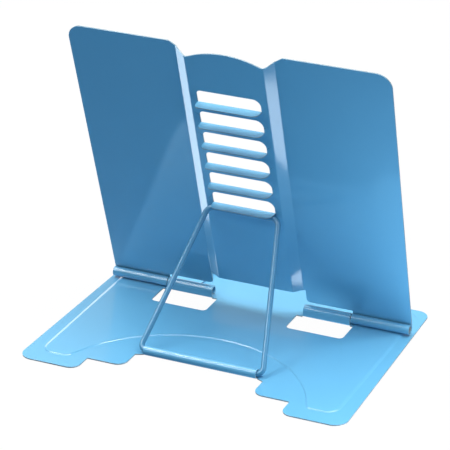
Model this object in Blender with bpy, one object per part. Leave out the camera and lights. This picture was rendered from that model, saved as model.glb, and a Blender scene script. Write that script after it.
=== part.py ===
"""Folding book stand of bent sheet steel, modelled piece by piece in metres.

World frame: +Z up, origin on the floor at the centre of the footprint. The reader sits
at -Y, and the prop stands behind the back plate at +Y. Each piece is modelled about
its own hinge line and then placed there.
"""
import bpy
import bmesh
from math import acos, atan, atan2, ceil, cos, degrees, hypot, pi, radians, sin, sqrt, tan
from mathutils import Vector

# Sheet steel and general clearances
sheet = 0.0008
running_gap = 0.0003
overrun = 0.003
merge_distance = 0.000001
arc_step_degrees = 10
sharp_angle_degrees = 11

# Main hinge between base and back plate
hinge_pin_diameter = 0.0038
hinge_pin_clearance = 0.0004
hinge_pin_chamfer = 0.0003
knuckle_joint = 0.0623
knuckle_gap = 0.0004
outer_knuckle_end = 0.1006
inner_knuckle_end = 0.0310
hinge_pin_inner_end = 0.0370
knuckle_bend = 0.0010
knuckle_root = 0.0010
outer_knuckle_wrap_degrees = 300
inner_knuckle_wrap_degrees = 245
bend_relief = 0.0003

# Back plate, heights measured along the plate from the hinge axis
plate_tilt_degrees = 73.5
plate_top_width = 0.2052
plate_bottom_width = 0.2016
plate_height = 0.1918
plate_corner = 0.0095
band_width = 0.0496
band_set_back = 0.0040
flange_run = 0.0071
press_bend = 0.0012
shoulder_run = 0.0040
shoulder_corner = 0.0025
valley_drop = 0.0072
valley_corner = 0.0055
crown_drop = 0.0014
crown_points = 6
band_bottom = 0.0136
wing_bottom = 0.0042
wing_bottom_corner = 0.0025

# Row of slots with a turned-out lip under each
slot_count = 6
slot_pitch = 0.01538
lowest_slot = 0.0766
slot_width = 0.0410
slot_height = 0.0080
slot_left_corner = 0.0050
slot_right_corner = 0.0028
lip_reach = 0.0058
lip_bend = 0.0005
lip_root = 0.0012

# Base plate, lengths measured from the hinge line
ledge_depth = 0.0342
base_run = 0.1214
base_front_width = 0.2032
base_rear_width = 0.2108
front_corner = 0.0080
rear_corner = 0.0085
outer_tab_inner_side = 0.0658
outer_tab_corner = 0.0065
inner_tab_run = 0.1062
inner_tab_inner_side = 0.0418
inner_tab_corner = 0.0065
ear_run = 0.0900
ear_root_run = 0.0879
notch_corner = 0.0010
window_inner_side = 0.0270
window_outer_side = 0.0646
window_front = 0.0034
window_rear = 0.0220
window_corner = 0.0030

# Raised panel pressed into the base, along the middle of its sloped edge
panel_rise = 0.0006
panel_edge = 0.0044
panel_width = 0.1912
panel_front = -0.0285
panel_rear = 0.1093
panel_front_corner = 0.0070
panel_rear_corner = 0.0080
panel_arch_radius = 0.0810
panel_arch_front = 0.0523
panel_arch_corner = 0.0050
arch_step_degrees = 6

# Prop wire and the curl that carries it
wire_diameter = 0.0034
curl_clearance = 0.0005
curl_run = 0.0867
curl_width = 0.0738
curl_wrap_degrees = 305
curl_root = 0.0014
prop_top_width = 0.0464
prop_foot_clearance = 0.0018
prop_foot_bend = 0.0036
prop_top_bend = 0.0048
prop_grip = 0.0150

# Page clips on the front ledge, places measured from the middle of the ledge
clip_pin_diameter = 0.0025
clip_pin_clearance = 0.0003
clip_pin_head = 0.0042
clip_pin_head_height = 0.0010
clip_centre = 0.0620
clip_width = 0.0354
clip_knuckle_length = 0.0060
clip_reach = 0.0200
clip_corner = 0.0075
clip_tip_bend = 0.0045
clip_tip_degrees = 32
clip_tip_length = 0.0030
clip_wrap_degrees = 285
clip_knuckle_wrap_degrees = 240
clip_opening_width = 0.0190
clip_opening_depth = 0.0070
clip_opening_corner = 0.0015

# Torsion spring on each clip pin
spring_wire = 0.0008
spring_clearance = 0.0003
spring_pitch = 0.0015
spring_turns = 10
spring_points_per_turn = 9
spring_foot = 0.0070
spring_arm = 0.0130
spring_arm_rise_run = 0.0055

# Colours and finishes
paint_blue = (0.105, 0.365, 0.640, 1.0)
plated_steel = (0.700, 0.710, 0.720, 1.0)
spring_steel = (0.520, 0.530, 0.550, 1.0)

# Sizes that follow from the ones above
knuckle_inner = hinge_pin_diameter / 2 + hinge_pin_clearance
knuckle_middle = knuckle_inner + sheet / 2
knuckle_outer = knuckle_inner + sheet
hinge_y = ledge_depth - (ledge_depth + base_run) / 2
hinge_z = panel_rise + sheet + running_gap + knuckle_outer
band_half = band_width / 2
wing_inner = band_half + flange_run
shoulder = wing_inner + shoulder_run
wing_offset = -knuckle_middle
band_offset = wing_offset + band_set_back
curl_middle = wire_diameter / 2 + curl_clearance + sheet / 2
curl_z = sheet / 2 + curl_middle
clip_inner = clip_pin_diameter / 2 + clip_pin_clearance
clip_middle = clip_inner + sheet / 2
clip_outer = clip_inner + sheet
clip_z = sheet + running_gap + clip_outer
clip_y = clip_outer - ledge_depth
clip_knuckle_side = clip_width / 2 + running_gap
spring_middle = clip_pin_diameter / 2 + spring_clearance + spring_wire / 2
bar_height = lowest_slot - sheet - running_gap - wire_diameter / 2
bar_offset = band_offset + sheet / 2 + running_gap + wire_diameter / 2


def prop_from_curl():
    """Length and lean of the prop, from the curl's axis to the bar under the lowest lip."""
    tilt = radians(plate_tilt_degrees)
    bar_y = bar_height * cos(tilt) + bar_offset * sin(tilt)
    bar_z = hinge_z + bar_height * sin(tilt) - bar_offset * cos(tilt)
    return hypot(curl_run - bar_y, bar_z - curl_z), atan2(curl_run - bar_y, bar_z - curl_z)


def clip_rest_angle():
    """Slope of a page clip's flap when the bend of its tip rests just above the panel."""
    bend_height = panel_rise + sheet + running_gap + sheet / 2 - clip_z
    return acos(bend_height / hypot(clip_middle, clip_reach)) - atan2(clip_reach, clip_middle)


def across(u, v, w):
    """A profile drawn in the YZ plane and extruded along X."""
    return Vector((w, u, v))


def upright(u, v, w):
    """A profile drawn in the XY plane and extruded along Z."""
    return Vector((u, v, w))


def through(u, v, w):
    """An outline drawn on the back plate's face and extruded through the plate."""
    return Vector((u, w, v))


def clear_scene():
    for item in list(bpy.data.objects):
        bpy.data.objects.remove(item, do_unlink=True)


def make_material(name, colour, metallic, roughness):
    material = bpy.data.materials.new(name)
    material.use_nodes = True
    shader = material.node_tree.nodes["Principled BSDF"]
    shader.inputs["Base Color"].default_value = colour
    shader.inputs["Metallic"].default_value = metallic
    shader.inputs["Roughness"].default_value = roughness
    material.diffuse_color = colour
    return material


def arc(centre_u, centre_v, radius, start, end):
    """Points on an arc, both ends included, angles in degrees."""
    steps = max(2, ceil(abs(end - start) / arc_step_degrees))
    angles = [radians(start + (end - start) * step / steps) for step in range(steps + 1)]
    return [(centre_u + radius * cos(angle), centre_v + radius * sin(angle)) for angle in angles]


def rounded(corners, closed=True):
    """Replace each corner (u, v, radius) by an arc of that radius."""
    points = []
    count = len(corners)
    for index, (u, v, radius) in enumerate(corners):
        if radius == 0 or (not closed and index in (0, count - 1)):
            points.append((u, v))
            continue
        here = Vector((u, v))
        before = Vector(corners[index - 1][:2]) - here
        after = Vector(corners[(index + 1) % count][:2]) - here
        half = before.angle(after) / 2
        bisector = (before.normalized() + after.normalized()).normalized()
        centre = here + bisector * radius / sin(half)
        first = here + before.normalized() * radius / tan(half) - centre
        last = here + after.normalized() * radius / tan(half) - centre
        start = degrees(atan2(first.y, first.x))
        sweep = (degrees(atan2(last.y, last.x)) - start + 180) % 360 - 180
        points += arc(centre.x, centre.y, radius, start, start + sweep)
    return points


def mirrored(half_outline):
    """Complete an outline given from the middle line outwards on its +X side."""
    other_side = [(-corner[0],) + tuple(corner[1:]) for corner in reversed(half_outline)]
    return half_outline + other_side


def offset_points(points, distance, closed=True):
    """Shift a line of points sideways, to its left for a positive distance."""
    shifted = []
    count = len(points)
    for index, point in enumerate(points):
        here = Vector(point)
        before = Vector(points[index - 1]) if closed or index > 0 else None
        after = Vector(points[(index + 1) % count]) if closed or index < count - 1 else None
        incoming = (here - before).normalized() if before is not None else (after - here).normalized()
        outgoing = (after - here).normalized() if after is not None else incoming
        side_in = Vector((-incoming.y, incoming.x))
        side_out = Vector((-outgoing.y, outgoing.x))
        bisector = (side_in + side_out).normalized()
        moved = here + bisector * distance / bisector.dot(side_in)
        shifted.append((moved.x, moved.y))
    return shifted


def new_object(name, build):
    """Make an object whose mesh is drawn by the build function, with faces pointing out."""
    shape = bmesh.new()
    build(shape)
    bmesh.ops.recalc_face_normals(shape, faces=shape.faces[:])
    if shape.calc_volume(signed=True) < 0:
        bmesh.ops.reverse_faces(shape, faces=shape.faces[:])
    mesh = bpy.data.meshes.new(name)
    shape.to_mesh(mesh)
    shape.free()
    piece = bpy.data.objects.new(name, mesh)
    bpy.context.scene.collection.objects.link(piece)
    return piece


def loft(name, levels, place):
    """A closed solid through outlines of equal point count, each at its own level."""
    def build(shape):
        rings = [[shape.verts.new(place(u, v, level)) for u, v in outline] for outline, level in levels]
        count = len(rings[0])
        for lower, upper in zip(rings, rings[1:]):
            for index in range(count):
                after = (index + 1) % count
                shape.faces.new((lower[index], lower[after], upper[after], upper[index]))
        ends = [shape.faces.new(rings[0]), shape.faces.new(rings[-1])]
        for end in ends:
            end.normal_update()
        bmesh.ops.triangulate(shape, faces=ends)
    return new_object(name, build)


def bent_strip(name, path, low, high, place):
    """Sheet metal bent along a path and extruded from low to high."""
    def build(shape):
        sides = [offset_points(path, side * sheet / 2, closed=False) for side in (1, -1)]
        left, right = [
            [[shape.verts.new(place(u, v, level)) for level in (low, high)] for u, v in side]
            for side in sides
        ]
        for index in range(len(path) - 1):
            nxt = index + 1
            for end in (0, 1):
                shape.faces.new((left[index][end], left[nxt][end], right[nxt][end], right[index][end]))
            for side in (left, right):
                shape.faces.new((side[index][0], side[nxt][0], side[nxt][1], side[index][1]))
        for index in (0, -1):
            shape.faces.new((left[index][0], left[index][1], right[index][1], right[index][0]))
    return new_object(name, build)


def combine(piece, other, operation):
    """Apply an exact Boolean to a piece and remove the second solid."""
    modifier = piece.modifiers.new(operation.title(), "BOOLEAN")
    modifier.operation = operation
    modifier.solver = "EXACT"
    modifier.object = other
    bpy.context.view_layer.update()
    evaluated = piece.evaluated_get(bpy.context.evaluated_depsgraph_get())
    result = bpy.data.meshes.new_from_object(evaluated)
    piece.modifiers.clear()
    piece.data = result
    bpy.data.objects.remove(other, do_unlink=True)


def finish_piece(piece, material, location, turn_degrees=0):
    """Clean the mesh, shade it, and place the piece on its own axis."""
    if piece.type == "MESH":
        shape = bmesh.new()
        shape.from_mesh(piece.data)
        bmesh.ops.remove_doubles(shape, verts=shape.verts[:], dist=merge_distance)
        bmesh.ops.dissolve_degenerate(shape, edges=shape.edges[:], dist=merge_distance)
        bmesh.ops.triangulate(shape, faces=shape.faces[:])
        shape.to_mesh(piece.data)
        shape.free()
        piece.data.shade_smooth()
        piece.data.set_sharp_from_angle(angle=radians(sharp_angle_degrees))
    piece.data.materials.clear()
    piece.data.materials.append(material)
    piece.location = location
    piece.rotation_euler = (radians(turn_degrees), 0, 0)


def crown_outline():
    """Half of the band's arched top, from the middle to the valley beside the flange."""
    rise = valley_drop - crown_drop
    radius = (band_half ** 2 + rise ** 2) / (2 * rise)
    spots = [band_half * step / crown_points for step in range(crown_points)]
    return [(x, plate_height - crown_drop - radius + sqrt(radius ** 2 - x ** 2), 0) for x in spots]


def plate_outline():
    """The whole outline of the back plate on its own face."""
    half = crown_outline() + [
        (band_half + press_bend, plate_height - valley_drop, valley_corner),
        (shoulder, plate_height, shoulder_corner),
        (plate_top_width / 2, plate_height, plate_corner),
        (plate_bottom_width / 2, 0, 0),
        (knuckle_joint, 0, 0),
        (knuckle_joint, wing_bottom, 0),
        (wing_inner, wing_bottom, wing_bottom_corner),
        (wing_inner, band_bottom, 0),
    ]
    crown_middle, rest = half[0], half[1:]
    other_side = [(-corner[0],) + corner[1:] for corner in reversed(rest)]
    return rounded([crown_middle] + rest + other_side)


def pressed_profile():
    """The wings and the band between them, which the press sets back, seen from above."""
    half = [
        (plate_top_width / 2 + overrun, wing_offset, 0),
        (wing_inner, wing_offset, press_bend),
        (band_half, band_offset, press_bend),
    ]
    return rounded(half + [(-x, y, radius) for x, y, radius in reversed(half)], closed=False)


def outer_knuckle_path():
    """The plate's sheet comes down in front of the axis and rolls under and up behind it."""
    return [(wing_offset, knuckle_root)] + arc(
        0, 0, knuckle_middle, 180, 180 + outer_knuckle_wrap_degrees)


def slot_outline(bottom):
    """A slot with square lower and rounded upper corners."""
    half = slot_width / 2
    start = bottom - sheet - lip_bend
    return rounded([
        (-half, start, 0), (half, start, 0),
        (half, bottom + slot_height, slot_right_corner), (-half, bottom + slot_height, slot_left_corner),
    ])


def lip_path(bottom):
    """The lip bends out of the band, level with the slot's lower edge."""
    radius = lip_bend + sheet / 2
    return [(band_offset, bottom - sheet - lip_bend - lip_root)] + arc(
        band_offset + radius, bottom - sheet / 2 - radius, radius, 180, 90) + [
        (band_offset + sheet / 2 + lip_reach, bottom - sheet / 2)]


def lip_trim_outline():
    """The lip's free corners are the blank's rounded upper corners, turned out with it."""
    half = slot_width / 2
    tip = band_offset + sheet / 2 + lip_reach
    return rounded([
        (-half, band_offset - overrun, 0), (half, band_offset - overrun, 0),
        (half, tip, slot_right_corner), (-half, tip, slot_left_corner),
    ])


def make_back_plate(paint):
    plate = bent_strip("back_plate", pressed_profile(), -overrun, plate_height + overrun, upright)
    outline = loft("outline", [(plate_outline(), -plate_height), (plate_outline(), plate_height)], through)
    combine(plate, outline, "INTERSECT")
    for index in range(slot_count):
        bottom = lowest_slot + index * slot_pitch
        slot = slot_outline(bottom)
        hole = loft("hole", [(slot, band_offset - overrun), (slot, band_offset + overrun)], through)
        combine(plate, hole, "DIFFERENCE")
        lip = bent_strip("lip", lip_path(bottom), -slot_width / 2, slot_width / 2, across)
        trim = lip_trim_outline()
        corners = loft("trim", [(trim, bottom - slot_pitch), (trim, bottom + slot_pitch)], upright)
        combine(lip, corners, "INTERSECT")
        combine(plate, lip, "UNION")
    for side in (-1, 1):
        ends = sorted((side * (knuckle_joint + knuckle_gap / 2), side * outer_knuckle_end))
        knuckle = bent_strip("knuckle", outer_knuckle_path(), ends[0], ends[1], across)
        combine(plate, knuckle, "UNION")
    finish_piece(plate, paint, (0, hinge_y, hinge_z), plate_tilt_degrees - 90)


def side_half_width(run):
    """Half the base's width at a distance behind the hinge line."""
    share = (run + ledge_depth) / (base_run + ledge_depth)
    return (base_front_width + (base_rear_width - base_front_width) * share) / 2


def base_outline():
    """The base's blank: ledge in front, stepped tabs at the rear, a flat edge for the curl."""
    bend_start = sheet / 2 + knuckle_bend - ledge_depth
    knuckle_spans = []
    for side in (-1, 1):
        inner = clip_centre + side * clip_knuckle_side
        outer = inner + side * clip_knuckle_length
        low, high = min(inner, outer) - bend_relief, max(inner, outer) + bend_relief
        knuckle_spans += [(low, -ledge_depth, 0), (low, bend_start, 0),
                          (high, bend_start, 0), (high, -ledge_depth, 0)]
    half = knuckle_spans + [
        (side_half_width(-ledge_depth), -ledge_depth, front_corner),
        (side_half_width(base_run), base_run, rear_corner),
        (outer_tab_inner_side, base_run, outer_tab_corner),
        (outer_tab_inner_side, inner_tab_run, notch_corner),
        (inner_tab_inner_side, inner_tab_run, inner_tab_corner),
        (inner_tab_inner_side, ear_run, 0),
        (curl_width / 2 + bend_relief, ear_root_run, 0),
        (curl_width / 2 + bend_relief, curl_run, 0),
    ]
    return rounded(mirrored(half))


def panel_outline():
    """The raised panel, a rounded rectangle with an arch taken out round the curl."""
    centre = panel_arch_front + panel_arch_radius
    foot = sqrt(panel_arch_radius ** 2 - (centre - panel_rear) ** 2)
    spread = degrees(atan2(foot, centre - panel_rear))
    steps = ceil(spread / arch_step_degrees)
    angles = [radians(spread * (1 - step / steps)) for step in range(1, steps + 1)]
    arch = [(panel_arch_radius * sin(angle), centre - panel_arch_radius * cos(angle), 0) for angle in angles]
    half = [
        (panel_width / 2, panel_front, panel_front_corner),
        (panel_width / 2, panel_rear, panel_rear_corner),
        (foot, panel_rear, panel_arch_corner),
    ] + arch
    middle = half[-1]
    other_side = [(-corner[0],) + corner[1:] for corner in reversed(half[:-1])]
    return rounded(half[:-1] + [middle] + other_side)


def window_outline(side):
    """A window whose metal was rolled up into the inner knuckle along its front edge."""
    bend_start = knuckle_middle - knuckle_bend
    inner = inner_knuckle_end - bend_relief
    outer = knuckle_joint - knuckle_gap / 2 + bend_relief
    corners = [
        (window_inner_side, window_front, 0), (inner, window_front, 0), (inner, bend_start, 0),
        (outer, bend_start, 0), (outer, window_front, 0), (window_outer_side, window_front, 0),
        (window_outer_side, window_rear, window_corner), (window_inner_side, window_rear, window_corner),
    ]
    outline = rounded(corners)
    return [(side * x, y) for x, y in outline][::side]


def inner_knuckle_path():
    """The base's sheet bends straight up behind the axis and rolls forward over it."""
    turn = knuckle_middle - knuckle_bend
    level = panel_rise + sheet / 2
    return ([(turn - knuckle_root, level)]
            + arc(turn, level + knuckle_bend, knuckle_bend, -90, 0)
            + arc(0, hinge_z, knuckle_middle, 0, inner_knuckle_wrap_degrees))


def clip_knuckle_path():
    """The ledge's front edge bends up in front of the clip pin and rolls back over it."""
    turn = sheet / 2 + knuckle_bend - ledge_depth
    return ([(turn + knuckle_root, sheet / 2)]
            + arc(turn, sheet / 2 + knuckle_bend, knuckle_bend, -90, -180)
            + arc(clip_y, clip_z, clip_middle, 180, 180 - clip_knuckle_wrap_degrees))


def curl_path():
    """The rear edge rolls up and forward into an open tube for the prop's feet."""
    return [(curl_run - curl_root, sheet / 2)] + arc(
        curl_run, curl_z, curl_middle, -90, curl_wrap_degrees - 90)


def make_base_plate(paint):
    base = loft("base_plate", [(base_outline(), 0), (base_outline(), sheet)], upright)
    middle = panel_outline()
    slope = atan(panel_rise / panel_edge)
    shift = sheet * tan(slope / 2)
    foot = offset_points(middle, -panel_edge / 2)
    top = offset_points(middle, panel_edge / 2)
    raised = loft("raised", [(foot, sheet / 2), (foot, sheet), (top, sheet + panel_rise)], upright)
    combine(base, raised, "UNION")
    hollow_foot = offset_points(middle, shift - panel_edge / 2)
    hollow_top = offset_points(middle, shift + panel_edge / 2)
    hollow = loft("hollow", [(hollow_foot, -overrun), (hollow_foot, 0), (hollow_top, panel_rise)], upright)
    combine(base, hollow, "DIFFERENCE")
    for side in (-1, 1):
        window = window_outline(side)
        combine(base, loft("window", [(window, -overrun), (window, overrun)], upright), "DIFFERENCE")
        ends = sorted((side * inner_knuckle_end, side * (knuckle_joint - knuckle_gap / 2)))
        combine(base, bent_strip("knuckle", inner_knuckle_path(), ends[0], ends[1], across), "UNION")
        for reach in (-1, 1):
            near = clip_centre + reach * clip_knuckle_side
            far = near + reach * clip_knuckle_length
            ends = sorted((side * near, side * far))
            combine(base, bent_strip("knuckle", clip_knuckle_path(), ends[0], ends[1], across), "UNION")
    curl = bent_strip("curl", curl_path(), -curl_width / 2, curl_width / 2, across)
    combine(base, curl, "UNION")
    finish_piece(base, paint, (0, hinge_y, 0))


def make_pin(name, length, diameter, chamfer, head, head_height, material, location):
    """A turned pin along X, its head, if it has one, past the end at +X."""
    def build(shape):
        radius = diameter / 2
        profile = [(0, radius - chamfer), (chamfer, radius)]
        if head:
            profile += [(length, radius), (length, head / 2), (length + head_height / 2, head / 2),
                        (length + head_height, head / 2 - head_height / 2)]
        else:
            profile += [(length - chamfer, radius), (length, radius - chamfer)]
        count = ceil(360 / arc_step_degrees)
        rings = []
        for x, ring_radius in profile:
            angles = [2 * pi * step / count for step in range(count)]
            rings.append([shape.verts.new((x, ring_radius * cos(a), ring_radius * sin(a))) for a in angles])
        for left, right in zip(rings, rings[1:]):
            for index in range(count):
                after = (index + 1) % count
                shape.faces.new((left[index], left[after], right[after], right[index]))
        shape.faces.new(rings[0])
        shape.faces.new(rings[-1])
    pin = new_object(name, build)
    finish_piece(pin, material, location)
    return pin


def make_hinge_pins(steel):
    length = outer_knuckle_end - hinge_pin_inner_end
    for name, start in (("left_hinge_pin", -outer_knuckle_end), ("right_hinge_pin", hinge_pin_inner_end)):
        make_pin(name, length, hinge_pin_diameter, hinge_pin_chamfer, 0, 0, steel, (start, hinge_y, hinge_z))


def make_tube(name, points, diameter, resolution, material, location, turn_degrees):
    """A wire along the points, round in section and closed at both ends."""
    curve = bpy.data.curves.new(name, "CURVE")
    curve.dimensions = "3D"
    curve.bevel_depth = diameter / 2
    curve.bevel_resolution = resolution
    curve.use_fill_caps = True
    spline = curve.splines.new("POLY")
    spline.points.add(len(points) - 1)
    for target, point in zip(spline.points, points):
        target.co = (point[0], point[1], point[2], 1)
    spline.use_smooth = True
    tube = bpy.data.objects.new(name, curve)
    bpy.context.scene.collection.objects.link(tube)
    finish_piece(tube, material, location, turn_degrees)
    return tube


def make_prop(paint):
    """A wire bail: a bar under the lip, two legs that spread, and feet turned into the curl."""
    length, lean = prop_from_curl()
    foot = curl_width / 2 + prop_foot_clearance + wire_diameter / 2
    half = [
        (curl_width / 2 - prop_grip, 0, 0),
        (foot, 0, prop_foot_bend),
        (prop_top_width / 2, length, prop_top_bend),
    ]
    path = rounded(half + [(-x, z, radius) for x, z, radius in reversed(half)], closed=False)
    points = [(x, 0, z) for x, z in path]
    make_tube("prop_wire", points, wire_diameter, 4, paint, (0, hinge_y + curl_run, curl_z), degrees(lean))


def clip_profile():
    """Side view of a page clip: rolled round its pin, a flat flap, and a turned-up tip."""
    tip = radians(clip_tip_degrees)
    bend = arc(clip_reach, clip_middle + clip_tip_bend, clip_tip_bend, -90, clip_tip_degrees - 90)
    end = (bend[-1][0] + clip_tip_length * cos(tip), bend[-1][1] + clip_tip_length * sin(tip))
    return arc(0, 0, clip_middle, 90 + clip_wrap_degrees, 90) + bend + [end]


def clip_outline():
    """Plan of a page clip, with the opening that the spring sits in."""
    half = clip_width / 2
    tip = clip_profile()[-1][0] + sheet
    front = -clip_outer - overrun
    opening = clip_opening_width / 2
    return rounded([
        (opening, front, 0), (half, front, 0), (half, tip, clip_corner), (-half, tip, clip_corner),
        (-half, front, 0), (-opening, front, 0), (-opening, clip_opening_depth, clip_opening_corner),
        (opening, clip_opening_depth, clip_opening_corner),
    ])


def make_page_clip(name, centre, paint):
    clip = bent_strip(name, clip_profile(), -clip_width / 2 - overrun, clip_width / 2 + overrun, across)
    outline = clip_outline()
    reach = clip_reach + clip_tip_bend
    combine(clip, loft("outline", [(outline, -reach), (outline, reach)], upright), "INTERSECT")
    finish_piece(clip, paint, (centre, hinge_y + clip_y, clip_z), -degrees(clip_rest_angle()))


def spring_points():
    """A torsion spring: a foot up to the panel, the coil, and an arm over the clip's flap."""
    rest = clip_rest_angle()
    length = spring_pitch * spring_turns
    start_angle = rest - pi / 2
    total = spring_turns * spring_points_per_turn + ceil(spring_points_per_turn / 2)
    step = (2 * pi * (spring_turns + 0.5) + rest) / total
    coil = []
    for index in range(total + 1):
        angle = start_angle - step * index
        x = length * (index / total - 0.5)
        coil.append(Vector((x, spring_middle * cos(angle), spring_middle * sin(angle))))
    slope = rest + atan(panel_rise / spring_foot)
    foot_direction = Vector((0, cos(slope), sin(slope)))
    foot = [coil[0] + foot_direction * spring_foot * share for share in (1, 0.5)]
    arm_height = clip_middle + sheet / 2 + running_gap + spring_wire / 2
    last = coil[-1]
    arm = [Vector((last.x, spring_arm_rise_run, arm_height)), Vector((last.x, spring_arm, arm_height))]
    return foot + coil + arm


def least_gap(points, diameter):
    """Least clear distance between stretches of the wire that are not neighbours."""
    skip = spring_points_per_turn // 2
    distances = [
        (points[first] - points[second]).length
        for first in range(len(points))
        for second in range(first + skip, len(points))
    ]
    return min(distances) - diameter


def make_clip_set(side_name, centre, paint, steel, spring_metal):
    make_page_clip(side_name + "_page_clip", centre, paint)
    outward = 1 if centre > 0 else -1
    half = clip_knuckle_side + clip_knuckle_length
    pin = make_pin(side_name + "_clip_pin", 2 * half + 2 * running_gap, clip_pin_diameter, hinge_pin_chamfer,
                   clip_pin_head, clip_pin_head_height, steel,
                   (centre - outward * (half + running_gap), hinge_y + clip_y, clip_z))
    if outward < 0:
        pin.rotation_euler = (0, 0, pi)
    points = spring_points()
    print("least gap of the spring to itself", round(least_gap(points, spring_wire), 6))
    make_tube(side_name + "_clip_spring", points, spring_wire, 1, spring_metal,
              (centre, hinge_y + clip_y, clip_z), -degrees(clip_rest_angle()))


clear_scene()
blue_paint = make_material("blue_paint", paint_blue, 0.0, 0.32)
pin_steel = make_material("pin_steel", plated_steel, 1.0, 0.30)
coil_steel = make_material("coil_steel", spring_steel, 1.0, 0.35)
make_base_plate(blue_paint)
make_back_plate(blue_paint)
make_hinge_pins(pin_steel)
make_prop(blue_paint)
make_clip_set("left", -clip_centre, blue_paint, pin_steel, coil_steel)
make_clip_set("right", clip_centre, blue_paint, pin_steel, coil_steel)
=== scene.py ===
"""A folding book stand of bent sheet steel, dressed and lit for its picture.

Each sheet is drawn as the flat blank that is cut for it, along the middle of the metal. The
blank is bent to shape, then given its thickness and its lightly rounded cut edges. Wires are
swept along their bends and pins are turned. Metres, +Z up, the reader at -Y. The left and
right of a piece are the reader's, at -X and +X.
"""
from math import acos, atan, atan2, ceil, cos, degrees, hypot, pi, radians, sin, sqrt, tan

import bmesh
import bpy
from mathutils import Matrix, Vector


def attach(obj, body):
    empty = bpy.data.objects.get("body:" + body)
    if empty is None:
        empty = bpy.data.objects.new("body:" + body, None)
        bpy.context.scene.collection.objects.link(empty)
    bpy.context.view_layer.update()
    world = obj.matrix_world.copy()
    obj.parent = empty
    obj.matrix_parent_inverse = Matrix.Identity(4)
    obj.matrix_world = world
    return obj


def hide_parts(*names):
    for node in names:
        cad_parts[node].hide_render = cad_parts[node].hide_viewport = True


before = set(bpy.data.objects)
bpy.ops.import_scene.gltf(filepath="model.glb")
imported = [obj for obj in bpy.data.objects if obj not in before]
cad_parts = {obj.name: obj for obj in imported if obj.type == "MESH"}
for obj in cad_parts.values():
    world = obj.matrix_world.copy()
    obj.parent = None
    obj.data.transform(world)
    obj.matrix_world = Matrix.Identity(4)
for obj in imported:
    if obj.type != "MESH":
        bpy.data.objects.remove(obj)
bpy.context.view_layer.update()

# Sheet steel, and the gap between parts that turn on each other
sheet = 0.0008
edge_radius = 0.00012
edge_steps = 2
cut_edge_degrees = 40
running_gap = 0.0003
weld = 0.000002
score_weld = 0.0000002
arc_step_degrees = 5
barrel_step_degrees = 5
fewest_arc_steps = 3

# Main hinge
hinge_pin_diameter = 0.0038
hinge_pin_clearance = 0.0004
knuckle_joint = 0.0623
knuckle_gap = 0.0004
outer_knuckle_end = 0.1006
inner_knuckle_end = 0.0310
hinge_pin_inner_end = 0.0370
knuckle_bend = 0.0010
outer_knuckle_wrap_degrees = 300
inner_knuckle_wrap_degrees = 245
bend_relief = 0.0003

# Back plate, heights measured along the plate from the hinge axis
plate_tilt_degrees = 73.5
plate_top_width = 0.2052
plate_bottom_width = 0.2016
plate_height = 0.1918
plate_corner = 0.0095
band_width = 0.0496
band_set_back = 0.0040
left_flange_degrees = 34
right_flange_degrees = 29.4
flange_bend = 0.0015
wing_inner = 0.0319
valley_run = 0.0004
shoulder_run = 0.0040
shoulder_corner = 0.0025
valley_drop = 0.0072
valley_corner = 0.0055
crown_drop = 0.0014
crown_arc_half = 0.0190
crown_points = 12
band_bottom = 0.0136
wing_bottom = 0.0042
wing_bottom_corner = 0.0025

# Row of slots with a turned-out lip under each
slot_count = 6
slot_pitch = 0.01538
lowest_slot = 0.0766
slot_width = 0.0410
slot_height = 0.0080
slot_left_corner = 0.0050
slot_right_corner = 0.0028
lip_reach = 0.0058
lip_bend = 0.0005

# Base plate, lengths measured from the hinge line
ledge_depth = 0.0342
base_run = 0.1214
base_front_width = 0.2032
base_rear_width = 0.2108
front_corner = 0.0080
rear_corner = 0.0085
outer_tab_inner_side = 0.0658
outer_tab_corner = 0.0065
inner_tab_run = 0.1062
inner_tab_inner_side = 0.0418
inner_tab_corner = 0.0065
ear_run = 0.0900
ear_root_run = 0.0879
notch_corner = 0.0010
window_inner_side = 0.0270
window_outer_side = 0.0646
window_front = 0.0034
window_rear = 0.0220
window_corner = 0.0030

# Raised panel pressed into the base
panel_rise = 0.0006
panel_side_wall = 0.0026
panel_end_wall = 0.0011
panel_side_spread = 0.1
panel_wall_steps = 10
panel_width = 0.1912
panel_front = -0.0285
panel_rear = 0.1093
panel_front_corner = 0.0070
panel_rear_corner = 0.0080
panel_arch_radius = 0.0810
panel_arch_front = 0.0523
panel_arch_corner = 0.0050
panel_arch_step_degrees = 3

# Prop wire and the curl that carries it
wire_diameter = 0.0034
curl_clearance = 0.0005
curl_run = 0.0867
curl_width = 0.0738
curl_wrap_degrees = 305
prop_top_width = 0.0464
prop_foot_clearance = 0.0018
prop_foot_bend = 0.0036
prop_top_bend = 0.0048
prop_grip = 0.0150
wire_sides = 40
wire_bend_points = 14
wire_end_degrees = 50

# Page clips on the front ledge
clip_pin_diameter = 0.0025
clip_pin_clearance = 0.0003
clip_pin_head = 0.0042
clip_pin_head_height = 0.0010
clip_centre = 0.0620
clip_width = 0.0354
clip_knuckle_length = 0.0060
clip_reach = 0.0200
clip_corner = 0.0075
clip_tip_bend = 0.0045
clip_tip_degrees = 32
clip_tip_length = 0.0030
clip_wrap_degrees = 285
clip_knuckle_wrap_degrees = 240
clip_opening_width = 0.0190
clip_opening_depth = 0.0070
clip_opening_corner = 0.0015
pin_chamfer = 0.0003
pin_sides = 56

# Torsion spring on each clip pin, which ends half a turn further on than its whole turns
spring_wire = 0.0008
spring_clearance = 0.0003
spring_pitch = 0.0015
spring_turns = 10
spring_half_turn = 0.5
spring_points_per_turn = 28
spring_sides = 14
spring_foot = 0.0070
spring_arm = 0.0130
spring_arm_rise_run = 0.0055
spring_bend = 0.0006

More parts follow.
